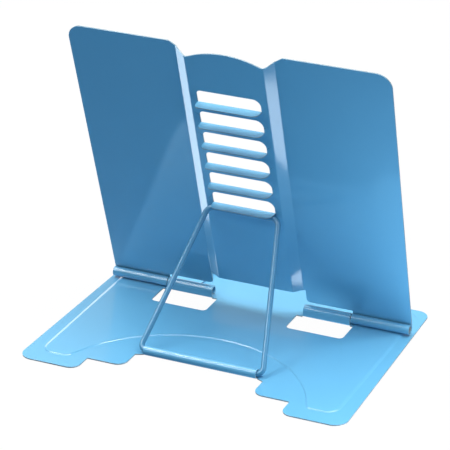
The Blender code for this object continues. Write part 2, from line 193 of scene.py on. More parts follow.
# Enamel: the spray's ripple and the slow change of its thickness, under a clear skin
ripple_size = 0.0022
ripple_detail = 1.5
ripple_strength = 0.10
ripple_depth = 0.0001
cloud_size = 0.045
cloud_detail = 2.0
enamel_ior = 1.45
enamel_roughness = 0.45
thin_enamel_roughness = 0.50
skin_ior = 1.55
skin_roughness = 0.10

# Drawn steel: lines from the die, finer on the real metal, drawn as coarse as they need to show
draw_line_width = 0.0003
draw_line_stretch = 20
draw_line_detail = 2.0
draw_line_strength = 0.15
draw_line_depth = 0.00005
draw_line_polish = 0.06
draw_line_dulling = 0.08
zinc_roughness = 0.28
spring_roughness = 0.34

# Sockets of the mix nodes that share their names with others on the same node
colour_a = 6
colour_b = 7
mixed_colour = 2
shader_a = 1
shader_b = 2

# Picture
camera_place = (-0.54147, 1.20368, 0.68580)
camera_target = (0.02333, -0.04372, 0.05160)
sensor_width = 36
lens_length = 194.72

# Table and room, where a level of 1 is white to the camera
plain_white = "#FFFFFF"
white_level = 1.0
floor_reach = 6.0
floor_glow = 0.975
paper_tone = "#E6E8EA"
table_return = 0.42
table_tone = "#8FCFFF"
room_level = 0.5
room_tones = ((0.20, "#000000"), (0.40, "#3C5064"), (0.60, "#4A5A68"), (0.90, "#8A98A6"))
straight_down = -1.0
sweep_level = 0.28
sweep_begins = 0.15
sweep_is_full = -0.45

# Lights, their left and right as the camera sees them: name, place, target, width, height,
# brightness, where 1 is white to the camera, and tone
softboxes = (
    ("overhead softbox",
     (0.0, -0.10, 1.25), (0.0, -0.10, 0.0), 2.40, 1.00, 3.9, "#FFFFFF"),
    ("softbox high on the left",
     (0.70, 0.84, 1.02), (0.05, 0.0, 0.05), 0.64, 0.30, 8.0, "#FFFFFF"),
    ("strip light over the left",
     (0.68, 0.31, 1.25), (0.778, 0.293, 0.0), 0.12, 0.40, 20.0, "#FFFFFF"),
    ("strip light over the right",
     (-0.63, -0.13, 1.25), (-0.57, -0.05, 0.0), 0.12, 0.44, 20.0, "#FFFFFF"),
    ("low strip behind on the left",
     (1.00, -1.15, 0.22), (0.09, 0.02, 0.0), 1.00, 0.60, 1.5, "#FFFFFF"),
    ("card below on the right",
     (-0.133, 0.071, -0.06), (-0.128, 0.064, 0.06), 0.09, 0.17, 7.0, "#E2F2FF"),
    ("card beside the right edge",
     (-0.195, 0.055, 0.075), (-0.085, -0.010, 0.075), 0.10, 0.15, 1.4, "#E2F2FF"),
    ("card below on the left",
     (0.290, -0.056, -0.06), (0.285, -0.056, 0.06), 0.09, 0.34, 4.3, "#DDF1FF"),
)

# Sizes that follow from the ones above
knuckle_inner = hinge_pin_diameter / 2 + hinge_pin_clearance
knuckle_middle = knuckle_inner + sheet / 2
knuckle_outer = knuckle_inner + sheet
hinge_y = ledge_depth - (ledge_depth + base_run) / 2
hinge_z = panel_rise + sheet + running_gap + knuckle_outer
band_half = band_width / 2
shoulder = wing_inner + shoulder_run
wing_offset = -knuckle_middle
band_offset = wing_offset + band_set_back
curl_middle = wire_diameter / 2 + curl_clearance + sheet / 2
curl_z = sheet / 2 + curl_middle
clip_inner = clip_pin_diameter / 2 + clip_pin_clearance
clip_middle = clip_inner + sheet / 2
clip_outer = clip_inner + sheet
clip_z = sheet + running_gap + clip_outer
clip_y = clip_outer - ledge_depth
clip_knuckle_side = clip_width / 2 + running_gap
spring_middle = clip_pin_diameter / 2 + spring_clearance + spring_wire / 2
bar_height = lowest_slot - sheet - running_gap - wire_diameter / 2
bar_offset = band_offset + sheet / 2 + running_gap + wire_diameter / 2
plate_tilt = radians(plate_tilt_degrees)


def prop_from_curl():
    """Length and lean of the prop, from the curl's axis to the bar under the lowest lip."""
    bar_y = bar_height * cos(plate_tilt) + bar_offset * sin(plate_tilt)
    bar_z = hinge_z + bar_height * sin(plate_tilt) - bar_offset * cos(plate_tilt)
    return hypot(curl_run - bar_y, bar_z - curl_z), atan2(curl_run - bar_y, bar_z - curl_z)


def clip_rest_angle():
    """Slope of a page clip's flap when the bend of its tip rests just above the panel."""
    bend_height = panel_rise + sheet + running_gap + sheet / 2 - clip_z
    return acos(bend_height / hypot(clip_middle, clip_reach)) - atan2(clip_reach, clip_middle)


def on_base(x, y, z):
    """A point drawn from the hinge line, on the floor side of the base."""
    return Vector((x, hinge_y + y, z))


def on_plate(x, offset, height):
    """A point drawn on the upright plate, leaned back about the hinge axis."""
    y = height * cos(plate_tilt) + offset * sin(plate_tilt)
    z = height * sin(plate_tilt) - offset * cos(plate_tilt)
    return on_base(x, y, hinge_z + z)


def on_clip(centre, x, run, height):
    """A point drawn on a level page clip, sloped down about its pin."""
    slope = clip_rest_angle()
    y = run * cos(slope) + height * sin(slope)
    z = height * cos(slope) - run * sin(slope)
    return on_base(centre + x, clip_y + y, clip_z + z)


def arc(centre_u, centre_v, radius, start, end, step_degrees=arc_step_degrees):
    """Points on an arc, both ends included, angles in degrees."""
    steps = max(fewest_arc_steps, ceil(abs(end - start) / step_degrees))
    angles = [radians(start + (end - start) * step / steps) for step in range(steps + 1)]
    return [
        (centre_u + radius * cos(angle), centre_v + radius * sin(angle)) for angle in angles
    ]


def rounded(corners, closed=True):
    """Replace each corner (u, v, radius) by an arc of that radius."""
    points = []
    count = len(corners)
    for index, (u, v, radius) in enumerate(corners):
        if radius == 0 or (not closed and index in (0, count - 1)):
            points.append((u, v))
            continue
        here = Vector((u, v))
        before = Vector(corners[index - 1][:2]) - here
        after = Vector(corners[(index + 1) % count][:2]) - here
        half = before.angle(after) / 2
        bisector = (before.normalized() + after.normalized()).normalized()
        centre = here + bisector * radius / sin(half)
        first = here + before.normalized() * radius / tan(half) - centre
        last = here + after.normalized() * radius / tan(half) - centre
        start = degrees(atan2(first.y, first.x))
        sweep = (degrees(atan2(last.y, last.x)) - start + 180) % 360 - 180
        points += arc(centre.x, centre.y, radius, start, start + sweep)
    return points


def mirrored(half):
    """Complete an outline or path from its +X half. A point on the middle line stays single."""
    off_middle = [corner for corner in half if corner[0] != 0]
    return half + [(-corner[0], *corner[1:]) for corner in reversed(off_middle)]


def inset(points, distances):
    """A closed outline moved inwards, which is to its left, by a distance for each point."""
    moved = []
    count = len(points)
    for index, (point, distance) in enumerate(zip(points, distances)):
        here = Vector(point)
        incoming = (here - Vector(points[index - 1])).normalized()
        outgoing = (Vector(points[(index + 1) % count]) - here).normalized()
        side_in = Vector((-incoming.y, incoming.x))
        side_out = Vector((-outgoing.y, outgoing.x))
        bisector = (side_in + side_out).normalized()
        shifted = here + bisector * distance / bisector.dot(side_in)
        moved.append((shifted.x, shifted.y))
    return moved


def lengths_along(path):
    """Distance from the start of a path to each of its points."""
    lengths = [0]
    for before, after in zip(path, path[1:]):
        lengths.append(lengths[-1] + hypot(after[0] - before[0], after[1] - before[1]))
    return lengths


def bend_rule(path):
    """A rule that carries a distance along the flat blank onto the bent path."""
    lengths = lengths_along(path)

    def place(distance):
        for index in range(len(path) - 1):
            if distance <= lengths[index + 1] or index == len(path) - 2:
                share = (distance - lengths[index]) / (lengths[index + 1] - lengths[index])
                start = Vector(path[index])
                end = Vector(path[index + 1])
                return start + (end - start) * share
    return place


def cut_blank(loops, place, bends_across=(), bends_along=()):
    """A flat blank with its holes open, scored on its bend lines and then put in place."""
    shape = bmesh.new()
    edges = []
    for loop in loops:
        ring = [shape.verts.new((u, v, 0)) for u, v in loop]
        edges += [shape.edges.new(pair) for pair in zip(ring, ring[1:] + ring[:1])]
    bmesh.ops.triangle_fill(shape, edges=edges, use_beauty=True)
    scores = [((u, 0, 0), (1, 0, 0)) for u in bends_across]
    scores += [((0, v, 0), (0, 1, 0)) for v in bends_along]
    for point, normal in scores:
        everything = shape.verts[:] + shape.edges[:] + shape.faces[:]
        bmesh.ops.bisect_plane(
            shape, geom=everything, dist=score_weld, plane_co=point, plane_no=normal)
    for vert in shape.verts:
        vert.co = place(vert.co.x, vert.co.y)
    return shape


def rolled_strip(path, low, high, place):
    """A tongue of the blank rolled along a path, from low to high across it."""
    shape = bmesh.new()
    rows = [[shape.verts.new(place(level, u, v)) for level in (low, high)] for u, v in path]
    for near, far in zip(rows, rows[1:]):
        shape.faces.new((near[0], near[1], far[1], far[0]))
    return shape


def joined(shapes):
    """One sheet from shapes that share edges."""
    whole = bmesh.new()
    for shape in shapes:
        mesh = bpy.data.meshes.new("tongue")
        shape.to_mesh(mesh)
        shape.free()
        whole.from_mesh(mesh)
        bpy.data.meshes.remove(mesh)
    bmesh.ops.remove_doubles(whole, verts=whole.verts[:], dist=weld)
    bmesh.ops.recalc_face_normals(whole, faces=whole.faces[:])
    return whole


def object_of(name, shape, materials):
    """A smoothly shaded object of a finished shape, with its materials in order."""
    mesh = bpy.data.meshes.new(name)
    shape.to_mesh(mesh)
    shape.free()
    mesh.shade_smooth()
    for material in materials:
        mesh.materials.append(material)
    piece = bpy.data.objects.new(name, mesh)
    bpy.context.scene.collection.objects.link(piece)
    return piece


def declared(piece, body, node):
    """A piece that stands in for its solid, which is hidden, and rides on its body."""
    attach(piece, body)
    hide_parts(node)
    return piece


def evaluated_mesh(piece):
    """What a piece's modifiers make of it, as a plain mesh."""
    bpy.context.view_layer.update()
    evaluated = piece.evaluated_get(bpy.context.evaluated_depsgraph_get())
    return bpy.data.meshes.new_from_object(evaluated)


def sheet_piece(name, shapes, materials, body, node):
    """A bent sheet with its thickness, its cut edge in the second material."""
    piece = object_of(name, joined(shapes), materials)
    thickness = piece.modifiers.new("thickness", "SOLIDIFY")
    thickness.thickness = sheet
    thickness.offset = 0
    thickness.use_even_offset = True
    thickness.use_quality_normals = True
    thickness.material_offset_rim = 1
    edge = piece.modifiers.new("cut edge", "BEVEL")
    edge.width = edge_radius
    edge.segments = edge_steps
    edge.limit_method = "ANGLE"
    edge.angle_limit = radians(cut_edge_degrees)
    edge.use_clamp_overlap = False
    edge.miter_outer = "MITER_ARC"
    flats = piece.modifiers.new("flat faces", "WEIGHTED_NORMAL")
    flats.keep_sharp = True
    mesh = evaluated_mesh(piece)
    piece.modifiers.clear()
    piece.data = mesh
    return declared(piece, body, node)


# Outlines of the back plate

def crown_outline():
    """Half of the band's arched top, from the middle to the valley beside the flange."""
    rise = valley_drop - crown_drop
    radius = (band_half ** 2 + rise ** 2) / (2 * rise)
    centre = plate_height - crown_drop - radius
    spots = [crown_arc_half * step / crown_points for step in range(crown_points + 1)]
    return [(x, centre + sqrt(radius ** 2 - x ** 2), 0) for x in spots]


def plate_outline():
    """The plate's blank: arched band, valleys, square shoulders, and wings down to the hinge."""
    return rounded(mirrored(crown_outline() + [
        (band_half + valley_run, plate_height - valley_drop, valley_corner),
        (shoulder, plate_height, shoulder_corner),
        (plate_top_width / 2, plate_height, plate_corner),
        (plate_bottom_width / 2, 0, 0),
        (outer_knuckle_end, 0, 0),
        (knuckle_joint + knuckle_gap / 2, 0, 0),
        (knuckle_joint, 0, 0),
        (knuckle_joint, wing_bottom, 0),
        (wing_inner, wing_bottom, wing_bottom_corner),
        (wing_inner, band_bottom, 0),
    ]))


def slot_outline(bottom):
    """The hole left by a slot, from the line where its lip turns out."""
    half = slot_width / 2
    start = bottom - sheet - lip_bend
    top = bottom + slot_height
    return rounded([
        (-half, start, 0), (half, start, 0),
        (half, top, slot_right_corner), (-half, top, slot_left_corner),
    ])


def pressed_profile():
    """The wings and the band between them, which the press sets back, seen from above.

    The press drew one flange a little steeper than the other."""
    corners = []
    for side, slope in ((-1, left_flange_degrees), (1, right_flange_degrees)):
        wing_corner = band_half + band_set_back / tan(radians(slope))
        half = [
            (side * (plate_top_width / 2 + sheet), wing_offset, 0),
            (side * wing_corner, wing_offset, flange_bend),
            (side * band_half, band_offset, flange_bend),
        ]
        corners += half[::-side]
    return rounded(corners, closed=False)


def lip_path(bottom):
    """The lip bends out of the band, level with the slot's lower edge."""
    radius = lip_bend + sheet / 2
    bend = arc(band_offset + radius, bottom - sheet / 2 - radius, radius, 180, 90)
    return bend + [(band_offset + sheet / 2 + lip_reach, bottom - sheet / 2)]


def make_lip(bottom):
    """The lip's free corners are the blank's rounded upper corners, turned out with it."""
    path = lip_path(bottom)
    lengths = lengths_along(path)
    rule = bend_rule(path)
    half = slot_width / 2
    end = lengths[-1]
    blank = rounded([
        (-half, 0, 0), (half, 0, 0),
        (half, end, slot_right_corner), (-half, end, slot_left_corner),
    ])

    def place(x, distance):
        offset, height = rule(distance)
        return on_plate(x, offset, height)
    return cut_blank([blank], place, bends_along=lengths[1:-1])


def make_back_plate(materials):
    """The leaning sheet with its set-back band, its six lips and its two outer knuckles."""
    depths = [Vector(point) for point in pressed_profile()]

    def place(x, height):
        for start, end in zip(depths, depths[1:]):
            if x <= end.x:
                break
        offset = start.y + (end.y - start.y) * (x - start.x) / (end.x - start.x)
        return on_plate(x, offset, height)
    bottoms = [lowest_slot + index * slot_pitch for index in range(slot_count)]
    loops = [plate_outline()] + [slot_outline(bottom) for bottom in bottoms]
    shapes = [cut_blank(loops, place, bends_across=[point.x for point in depths[1:-1]])]
    shapes += [make_lip(bottom) for bottom in bottoms]
    roll_end = 180 + outer_knuckle_wrap_degrees
    barrel = arc(0, 0, knuckle_middle, 180, roll_end, barrel_step_degrees)
    for side in (-1, 1):
        inner_end = side * (knuckle_joint + knuckle_gap / 2)
        shapes.append(rolled_strip(barrel, inner_end, side * outer_knuckle_end, on_plate))
    return sheet_piece("back_sheet", shapes, materials, "back", "back_plate")


# Outlines of the base

def side_half_width(run):
    """Half the base's width at a distance behind the hinge line."""
    share = (run + ledge_depth) / (base_run + ledge_depth)
    return (base_front_width + (base_rear_width - base_front_width) * share) / 2


def base_outline():
    """The base's blank: ledge in front, stepped tabs at the rear, a flat edge for the curl."""
    bend_start = sheet / 2 + knuckle_bend - ledge_depth
    half = []
    for side in (-1, 1):
        inner = clip_centre + side * clip_knuckle_side
        outer = inner + side * clip_knuckle_length
        low = min(inner, outer)
        high = max(inner, outer)
        half += [
            (low - bend_relief, -ledge_depth, 0),
            (low - bend_relief, bend_start, 0),
            (low, bend_start, 0),
            (high, bend_start, 0),
            (high + bend_relief, bend_start, 0),
            (high + bend_relief, -ledge_depth, 0),
        ]
    half += [
        (side_half_width(-ledge_depth), -ledge_depth, front_corner),
        (side_half_width(base_run), base_run, rear_corner),
        (outer_tab_inner_side, base_run, outer_tab_corner),
        (outer_tab_inner_side, inner_tab_run, notch_corner),
        (inner_tab_inner_side, inner_tab_run, inner_tab_corner),
        (inner_tab_inner_side, ear_run, 0),
        (curl_width / 2 + bend_relief, ear_root_run, 0),
        (curl_width / 2 + bend_relief, curl_run, 0),
        (curl_width / 2, curl_run, 0),
    ]
    return rounded(mirrored(half))


def panel_outline():
    """Middle line of the panel's wall: a rounded rectangle with an arch out of its rear side."""
    centre = panel_arch_front + panel_arch_radius
    foot = sqrt(panel_arch_radius ** 2 - (centre - panel_rear) ** 2)
    spread = degrees(atan2(foot, centre - panel_rear))
    steps = ceil(spread / panel_arch_step_degrees)
    angles = [radians(spread * (1 - step / steps)) for step in range(1, steps + 1)]
    arch = [
        (panel_arch_radius * sin(angle), centre - panel_arch_radius * cos(angle), 0)
        for angle in angles
    ]
    return rounded(mirrored([
        (panel_width / 2, panel_front, panel_front_corner),
        (panel_width / 2, panel_rear, panel_rear_corner),
        (foot, panel_rear, panel_arch_corner),
    ] + arch))


def window_outline(side):
    """A window whose metal was rolled up into the inner knuckle along its front edge."""
    bend_start = knuckle_middle - knuckle_bend
    outer_end = knuckle_joint - knuckle_gap / 2
    outline = rounded([
        (window_inner_side, window_front, 0),
        (inner_knuckle_end - bend_relief, window_front, 0),
        (inner_knuckle_end - bend_relief, bend_start, 0),
        (inner_knuckle_end, bend_start, 0),
        (outer_end, bend_start, 0),
        (outer_end + bend_relief, bend_start, 0),
        (outer_end + bend_relief, window_front, 0),
        (window_outer_side, window_front, 0),
        (window_outer_side, window_rear, window_corner),
        (window_inner_side, window_rear, window_corner),
    ])
    return [(side * x, y) for x, y in outline]


def inner_knuckle_path():
    """The base's sheet bends straight up behind the axis and rolls forward over it."""
    level = panel_rise + sheet / 2
    bend = arc(knuckle_middle - knuckle_bend, level + knuckle_bend, knuckle_bend, -90, 0)
    roll = arc(0, hinge_z, knuckle_middle, 0, inner_knuckle_wrap_degrees, barrel_step_degrees)
    return bend + roll


def clip_knuckle_path():
    """The ledge's front edge bends up in front of the clip pin and rolls back over it."""
    bend_centre = sheet / 2 + knuckle_bend
    bend = arc(bend_centre - ledge_depth, bend_centre, knuckle_bend, -90, -180)
    roll = arc(clip_y, clip_z, clip_middle, 180, 180 - clip_knuckle_wrap_degrees)
    return bend + roll


def curl_path():
    """The rear edge rolls up and forward into an open tube for the prop's feet."""
    return arc(curl_run, curl_z, curl_middle, -90, curl_wrap_degrees - 90, barrel_step_degrees)


def wall_widths(outline):
    """Width of the panel's wall at each point: gentle along the sides, steep at the ends."""
    widths = []
    for index in range(len(outline)):
        along = Vector(outline[(index + 1) % len(outline)]) - Vector(outline[index - 1])
        on_side = max(0, 1 - (1 - abs(along.y) / along.length) / panel_side_spread)
        widths.append(panel_end_wall + (panel_side_wall - panel_end_wall) * on_side)
    return widths


def panel_walls(outline):
    """The pressed step from the rim up to the panel, as nested rings and their heights."""
    widths = wall_widths(outline)
    rings = []
    for step in range(panel_wall_steps + 1):
        share = step / panel_wall_steps
        height = panel_rise * (1 - cos(pi * share)) / 2
        ring = inset(outline, [width * (share - 0.5) for width in widths])
        rings.append((ring, sheet / 2 + height))
    return rings


def make_base_plate(materials):
    """The sheet on the desk: rim, wall, panel with its windows, all knuckles and the curl."""
    rings = panel_walls(panel_outline())
    rim_edge, rim_level = rings[0]
    panel_edge, panel_level = rings[-1]

    def at_level(level):
        return lambda x, y: on_base(x, y, level)
    windows = [window_outline(side) for side in (-1, 1)]
    shapes = [
        cut_blank([base_outline(), rim_edge], at_level(rim_level)),
        cut_blank([panel_edge] + windows, at_level(panel_level)),
    ]
    wall = bmesh.new()
    loops = [
        [wall.verts.new(on_base(x, y, level)) for x, y in points] for points, level in rings
    ]
    for outer, inner in zip(loops, loops[1:]):
        for index in range(len(outer)):
            wall.faces.new((outer[index - 1], outer[index], inner[index], inner[index - 1]))
    shapes.append(wall)
    outer_end = knuckle_joint - knuckle_gap / 2
    for side in (-1, 1):
        shapes.append(rolled_strip(
            inner_knuckle_path(), side * inner_knuckle_end, side * outer_end, on_base))
        for reach in (-1, 1):
            near = clip_centre + reach * clip_knuckle_side
            far = near + reach * clip_knuckle_length
            shapes.append(rolled_strip(clip_knuckle_path(), side * near, side * far, on_base))
    shapes.append(rolled_strip(curl_path(), -curl_width / 2, curl_width / 2, on_base))
    return sheet_piece("base_sheet", shapes, materials, "base", "base_plate")


# Page clips

def clip_profile():
    """Side view of a page clip: rolled round its pin, a flat flap, and a turned-up tip."""
    tip = radians(clip_tip_degrees)
    roll = arc(0, 0, clip_middle, 90 + clip_wrap_degrees, 90, barrel_step_degrees)
    bend = arc(clip_reach, clip_middle + clip_tip_bend, clip_tip_bend, -90, clip_tip_degrees - 90)
    end = (bend[-1][0] + clip_tip_length * cos(tip), bend[-1][1] + clip_tip_length * sin(tip))
    return roll + bend + [end]


def make_page_clip(name, centre, body, node, materials):
    """A clip with an opening in its flap, where the spring lies round the pin."""
    path = clip_profile()
    lengths = lengths_along(path)
    rule = bend_rule(path)
    flap_end = next(index for index, point in enumerate(path) if point[0] >= clip_reach)
    opening_end = lengths[flap_end - 1] + clip_opening_depth
    half = clip_width / 2
    opening = clip_opening_width / 2
    blank = rounded([
        (opening, 0, 0),
        (half, 0, 0),
        (half, lengths[-1], clip_corner),
        (-half, lengths[-1], clip_corner),
        (-half, 0, 0),
        (-opening, 0, 0),
        (-opening, opening_end, clip_opening_corner),
        (opening, opening_end, clip_opening_corner),
    ])

    def place(x, distance):
        run, height = rule(distance)
        return on_clip(centre, x, run, height)
    shapes = [cut_blank([blank], place, bends_along=lengths[1:-1])]
    return sheet_piece(name, shapes, materials, body, node)


# Wires

def add_node(tree, kind, settings=None, inputs=None, links=None):
    """Add a node with its settings, the values of its inputs and the links into them."""
    node = tree.nodes.new(kind)
    for name, value in (settings or {}).items():
        setattr(node, name, value)
    for name, value in (inputs or {}).items():
        node.inputs[name].default_value = value
    for name, source in (links or {}).items():
        tree.links.new(source, node.inputs[name])
    return node


def make_wire_tree():
    """Sweeps a round wire along a polyline whose point radii are its bend radii."""
    tree = bpy.data.node_groups.new("wire along its bends", "GeometryNodeTree")
    sockets = (
        ("Path", "INPUT", "NodeSocketGeometry"),
        ("Wire Radius", "INPUT", "NodeSocketFloat"),
        ("Sides", "INPUT", "NodeSocketInt"),
        ("Bend Points", "INPUT", "NodeSocketInt"),
        ("Finish", "INPUT", "NodeSocketMaterial"),
        ("Wire", "OUTPUT", "NodeSocketGeometry"),
    )
    for name, direction, kind in sockets:
        tree.interface.new_socket(name, in_out=direction, socket_type=kind)
    source = add_node(tree, "NodeGroupInput")
    bend_radius = add_node(tree, "GeometryNodeInputRadius")
    bends = add_node(
        tree, "GeometryNodeFilletCurve", {"mode": "POLY"}, {"Limit Radius": True},
        {"Curve": source.outputs["Path"], "Count": source.outputs["Bend Points"],
         "Radius": bend_radius.outputs["Radius"]})
    even = add_node(
        tree, "GeometryNodeSetCurveRadius", None, {"Radius": 1},
        {"Curve": bends.outputs["Curve"]})
    section = add_node(
        tree, "GeometryNodeCurvePrimitiveCircle", {"mode": "RADIUS"}, None,
        {"Resolution": source.outputs["Sides"], "Radius": source.outputs["Wire Radius"]})
    swept = add_node(
        tree, "GeometryNodeCurveToMesh", None, {"Fill Caps": True},
        {"Curve": even.outputs["Curve"], "Profile Curve": section.outputs["Curve"]})
    smooth = add_node(
        tree, "GeometryNodeSetShadeSmooth", None, {"Shade Smooth": True},
        {"Geometry": swept.outputs["Mesh"]})
    real = add_node(
        tree, "GeometryNodeRealizeInstances", None, None,
        {"Geometry": smooth.outputs["Geometry"]})
    finish = add_node(
        tree, "GeometryNodeSetMaterial", None, None,
        {"Geometry": real.outputs["Geometry"], "Material": source.outputs["Finish"]})
    add_node(tree, "NodeGroupOutput", None, None, {"Wire": finish.outputs["Geometry"]})
    return tree


def wire_piece(name, tree, points, diameter, sides, material, body, node):
    """A wire through points (place, bend radius), in one unbroken tube."""
    curve = bpy.data.curves.new(name + " path", "CURVE")
    curve.dimensions = "3D"
    spline = curve.splines.new("POLY")
    spline.points.add(len(points) - 1)
    for target, (place, bend) in zip(spline.points, points):
        target.co = (*place, 1)
        target.radius = bend
    path = bpy.data.objects.new(name + " path", curve)
    bpy.context.scene.collection.objects.link(path)
    sweep = path.modifiers.new("wire", "NODES")
    sweep.node_group = tree
    values = {
        "Wire Radius": diameter / 2,
        "Sides": sides,
        "Bend Points": wire_bend_points,
        "Finish": material,
    }
    for item in tree.interface.items_tree:
        if item.in_out == "INPUT" and item.name in values:
            sweep[item.identifier] = values[item.name]
    mesh = evaluated_mesh(path)
    bpy.data.objects.remove(path, do_unlink=True)
    mesh.set_sharp_from_angle(angle=radians(wire_end_degrees))
    piece = bpy.data.objects.new(name, mesh)
    bpy.context.scene.collection.objects.link(piece)
    return declared(piece, body, node)


def make_prop(tree, material):
    """A wire bail: a bar under the lip, two legs that spread, and feet turned into the curl."""
    length, lean = prop_from_curl()
    foot = curl_width / 2 + prop_foot_clearance + wire_diameter / 2
    corners = mirrored([
        (curl_width / 2 - prop_grip, 0, 0),
        (foot, 0, prop_foot_bend),
        (prop_top_width / 2, length, prop_top_bend),
    ])
    points = [
        (on_base(x, curl_run - distance * sin(lean), curl_z + distance * cos(lean)), bend)
        for x, distance, bend in corners
    ]
    return wire_piece("prop_bail", tree, points, wire_diameter, wire_sides, material,
                      "prop", "prop_wire")


def spring_points(centre):
    """A torsion spring: a foot down to the panel, the coil, and an arm over the clip's flap."""
    rest = clip_rest_angle()
    length = spring_pitch * spring_turns
    start_angle = rest - pi / 2
    half_turn_points = ceil(spring_points_per_turn * spring_half_turn)
    total = spring_turns * spring_points_per_turn + half_turn_points
    step = (2 * pi * (spring_turns + spring_half_turn) + rest) / total
    coil = []
    for index in range(total + 1):
        angle = start_angle - step * index
        x = length * (index / total - 0.5)
        coil.append(Vector((x, spring_middle * cos(angle), spring_middle * sin(angle))))
    slope = rest + atan(panel_rise / spring_foot)
    foot = coil[0] + Vector((0, cos(slope), sin(slope))) * spring_foot
    arm_height = clip_middle + sheet / 2 + running_gap + spring_wire / 2
    last = coil[-1].x
    arm = [
        Vector((last, spring_arm_rise_run, arm_height)),
        Vector((last, spring_arm, arm_height)),
    ]
    bends = [0] * (len(coil) + 1) + [spring_bend, 0]
    return [(on_clip(centre, *point), bend) for point, bend in zip([foot] + coil + arm, bends)]


# Pins

def turned(profile, place):
    """A piece turned about the X axis from (x, radius) points, closed at both ends."""
    shape = bmesh.new()
    angles = [2 * pi * side / pin_sides for side in range(pin_sides)]
    rings = [
        [shape.verts.new(place(x, radius * cos(angle), radius * sin(angle))) for angle in angles]
        for x, radius in profile
    ]
    for left, right in zip(rings, rings[1:]):
        for side in range(pin_sides):
            shape.faces.new((left[side - 1], left[side], right[side], right[side - 1]))
    shape.faces.new(rings[0])
    shape.faces.new(rings[-1])
    bmesh.ops.recalc_face_normals(shape, faces=shape.faces[:])
    return shape


def hinge_pin_shape(side):
    """A plain pin with chamfered ends, which ends flush with the outer knuckle."""
    radius = hinge_pin_diameter / 2
    profile = [
        (hinge_pin_inner_end, radius - pin_chamfer),
        (hinge_pin_inner_end + pin_chamfer, radius),
        (outer_knuckle_end - pin_chamfer, radius),
        (outer_knuckle_end, radius - pin_chamfer),
    ]
    return turned(profile, lambda x, y, z: on_base(side * x, y, hinge_z + z))


def clip_pin_shape(side):
    """A rivet with a low domed head at its outer end."""
    radius = clip_pin_diameter / 2
    half = clip_knuckle_side + clip_knuckle_length + running_gap
    dome_radius = clip_pin_head_height / 2
    dome = arc(half + dome_radius, clip_pin_head / 2 - dome_radius, dome_radius, 90, 0)
    profile = [
        (-half, radius - pin_chamfer),
        (pin_chamfer - half, radius),
        (half, radius),
        (half, clip_pin_head / 2),
    ] + dome

    def place(x, y, z):
        return on_base(side * (clip_centre + x), clip_y + y, clip_z + z)
    return turned(profile, place)


def make_pin(name, shape, material, node):
    """A steel pin, which stays with the base."""
    return declared(object_of(name, shape, [material]), "base", node)


# Finishes

def linear(code):
    """An sRGB hex colour as linear red, green, blue and alpha, by the curve of that standard."""
    channels = [int(code[index:index + 2], 16) / 255 for index in (1, 3, 5)]
    return [c / 12.92 if c <= 0.04045 else ((c + 0.055) / 1.055) ** 2.4 for c in channels] + [1]


def new_finish(name):
    """An empty material and its node tree."""
    material = bpy.data.materials.new(name)
    material.use_nodes = True
    tree = material.node_tree
    tree.nodes.clear()
    return material, tree


def stoved_enamel(name, colour, thin_colour, roughness):
    """Stoving enamel, sprayed on steel and baked: a soft-edged sheen from the pigment under a
    clear, glossy skin that mirrors what is near, with a faint ripple from the spray and a
    slow change of tone where the coat is thinner."""
    material, tree = new_finish(name)
    place = add_node(tree, "ShaderNodeTexCoord")
    ripple = add_node(
        tree, "ShaderNodeTexNoise", None, {"Scale": 1 / ripple_size, "Detail": ripple_detail},
        {"Vector": place.outputs["Object"]})
    cloud = add_node(
        tree, "ShaderNodeTexNoise", None, {"Scale": 1 / cloud_size, "Detail": cloud_detail},
        {"Vector": place.outputs["Object"]})
    tint = add_node(
        tree, "ShaderNodeMix", {"data_type": "RGBA"},
        {colour_a: linear(colour), colour_b: linear(thin_colour)},
        {"Factor": cloud.outputs["Fac"]})
    bump = add_node(
        tree, "ShaderNodeBump", None, {"Strength": ripple_strength, "Distance": ripple_depth},
        {"Height": ripple.outputs["Fac"]})
    shader = add_node(
        tree, "ShaderNodeBsdfPrincipled", None,
        {"Roughness": roughness, "IOR": enamel_ior, "Coat Weight": 1.0,
         "Coat Roughness": skin_roughness, "Coat IOR": skin_ior},
        {"Base Color": tint.outputs[mixed_colour], "Normal": bump.outputs["Normal"],
         "Coat Normal": bump.outputs["Normal"]})
    add_node(tree, "ShaderNodeOutputMaterial", None, None, {"Surface": shader.outputs["BSDF"]})
    return material


def drawn_metal(name, colour, roughness):
    """Steel drawn through a die, bare or plated: a grey mirror, dulled by the fine lines that
    the die left along it. The pins, whose lines show most, lie along X."""
    material, tree = new_finish(name)
    place = add_node(tree, "ShaderNodeTexCoord")
    along = 1 / (draw_line_stretch * draw_line_width)
    across = 1 / draw_line_width
    lines = add_node(
        tree, "ShaderNodeMapping", None, {"Scale": (along, across, across)},
        {"Vector": place.outputs["Object"]})
    noise = add_node(
        tree, "ShaderNodeTexNoise", None, {"Scale": 1.0, "Detail": draw_line_detail},
        {"Vector": lines.outputs["Vector"]})
    spread = add_node(
        tree, "ShaderNodeMapRange", None,
        {"To Min": roughness - draw_line_polish, "To Max": roughness + draw_line_dulling},
        {"Value": noise.outputs["Fac"]})
    bump = add_node(
        tree, "ShaderNodeBump", None,
        {"Strength": draw_line_strength, "Distance": draw_line_depth},
        {"Height": noise.outputs["Fac"]})
    shader = add_node(
        tree, "ShaderNodeBsdfPrincipled", None, {"Base Color": linear(colour), "Metallic": 1.0},
        {"Roughness": spread.outputs["Result"], "Normal": bump.outputs["Normal"]})
    add_node(tree, "ShaderNodeOutputMaterial", None, None, {"Surface": shader.outputs["BSDF"]})
    return material


# Studio

